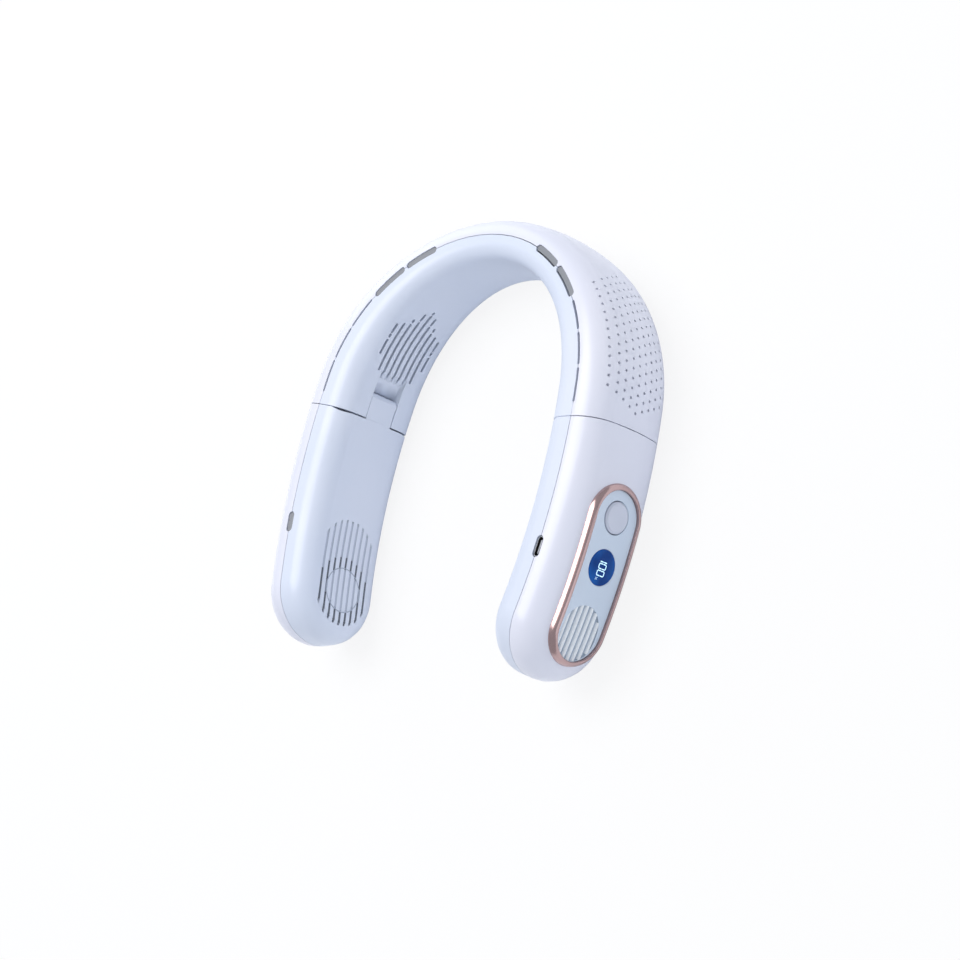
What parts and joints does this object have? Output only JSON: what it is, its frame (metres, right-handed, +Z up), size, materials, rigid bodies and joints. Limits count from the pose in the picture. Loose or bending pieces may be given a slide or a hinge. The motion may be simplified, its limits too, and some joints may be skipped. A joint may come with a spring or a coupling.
{
  "type": "electric neck fan",
  "caption": "Horseshoe neck fan with hinged arms, blower fans behind slotted and perforated grilles, and a trimmed control panel with a round display.",
  "frame": {"origin": "under the middle of the fan's box, on the plane that the arms' lower rims rest on", "axes": "+Y from the open mouth between the arms to the back of the neck, +Z up through the rims with the air outlets on top, +X to the arm with the control panel"},
  "size_m": [0.194, 0.2016, 0.0485],
  "materials": {
    "outer_shell": "pearl white, satin gloss",
    "inner_shell": "pale blue white, satin",
    "grey_insert": "grey, matte",
    "fan_housing": "dark grey, matte",
    "impeller": "mid grey, matte",
    "winding": "copper colour, enamelled",
    "steel": "plain steel",
    "cell_wrap": "blue wrap",
    "rose_trim": "rose gold, satin metallic",
    "panel": "pale blue grey, matte",
    "black_plastic": "black, matte",
    "display_glass": "smoked, glossy",
    "socket_metal": "drawn steel",
    "circuit_board": "green solder mask"
  },
  "bodies": {
    "back": {"back_outer_shell": "outer_shell", "back_inner_shell": "inner_shell", "left_outlet_strip": "grey_insert", "right_outlet_strip": "grey_insert", "left_hinge_pin": "steel", "right_hinge_pin": "steel", "left_back_fan_housing": "fan_housing", "right_back_fan_housing": "fan_housing", "left_back_stator": "winding", "right_back_stator": "winding", "left_back_bearing": "steel", "right_back_bearing": "steel", "back_screws": "steel"},
    "left_arm": {"left_arm_outer_shell": "outer_shell", "left_arm_inner_shell": "inner_shell", "left_battery": "cell_wrap", "left_arm_fan_housing": "fan_housing", "left_arm_stator": "winding", "left_arm_bearing": "steel", "left_arm_screws": "steel", "rim_insert": "grey_insert"},
    "right_arm": {"right_arm_outer_shell": "outer_shell", "right_arm_inner_shell": "inner_shell", "right_battery": "cell_wrap", "right_arm_fan_housing": "fan_housing", "right_arm_stator": "winding", "right_arm_bearing": "steel", "right_arm_screws": "steel", "trim_ring": "rose_trim", "control_panel": "panel", "tact_switch": "black_plastic", "display_window": "display_glass", "display_module": "black_plastic", "control_board": "circuit_board", "usb_socket": "socket_metal", "charging_board": "circuit_board"},
    "button": {"power_button": "panel", "switch_plunger": "black_plastic"},
    "left_back_rotor": {"left_back_impeller": "impeller", "left_back_shaft": "steel"},
    "right_back_rotor": {"right_back_impeller": "impeller", "right_back_shaft": "steel"},
    "left_arm_rotor": {"left_arm_impeller": "impeller", "left_arm_shaft": "steel"},
    "right_arm_rotor": {"right_arm_impeller": "impeller", "right_arm_shaft": "steel"}
  },
  "joints": [
    {"name": "left_arm_hinge", "type": "hinge", "parent": "back", "child": "left_arm", "pos_m": [-0.06746, 0.01603, 0.02425], "axis": [0, 0, 1], "range_deg": [0, 25]},
    {"name": "right_arm_hinge", "type": "hinge", "parent": "back", "child": "right_arm", "pos_m": [0.06586, 0.01603, 0.02425], "axis": [0, 0, -1], "range_deg": [0, 25]},
    {"name": "power_button_press", "type": "slide", "parent": "right_arm", "child": "button", "axis": [-0.9992, 0.0391, 0], "range_m": [0, 0.0005], "stiffness_N_per_m": 800, "springref_m": -0.0005},
    {"name": "left_back_fan_spin", "type": "hinge", "parent": "back", "child": "left_back_rotor", "pos_m": [-0.06999, 0.05008, 0.02425], "axis": [-0.8758, 0.4827, 0], "continuous": true},
    {"name": "right_back_fan_spin", "type": "hinge", "parent": "back", "child": "right_back_rotor", "pos_m": [0.06839, 0.05008, 0.02425], "axis": [0.8758, 0.4827, 0], "continuous": true},
    {"name": "left_arm_fan_spin", "type": "hinge", "parent": "left_arm", "child": "left_arm_rotor", "pos_m": [-0.07559, -0.07653, 0.02425], "axis": [-0.9814, -0.1922, 0], "continuous": true},
    {"name": "right_arm_fan_spin", "type": "hinge", "parent": "right_arm", "child": "right_arm_rotor", "pos_m": [0.07399, -0.07653, 0.02425], "axis": [0.9814, -0.1922, 0], "continuous": true}
  ]
}
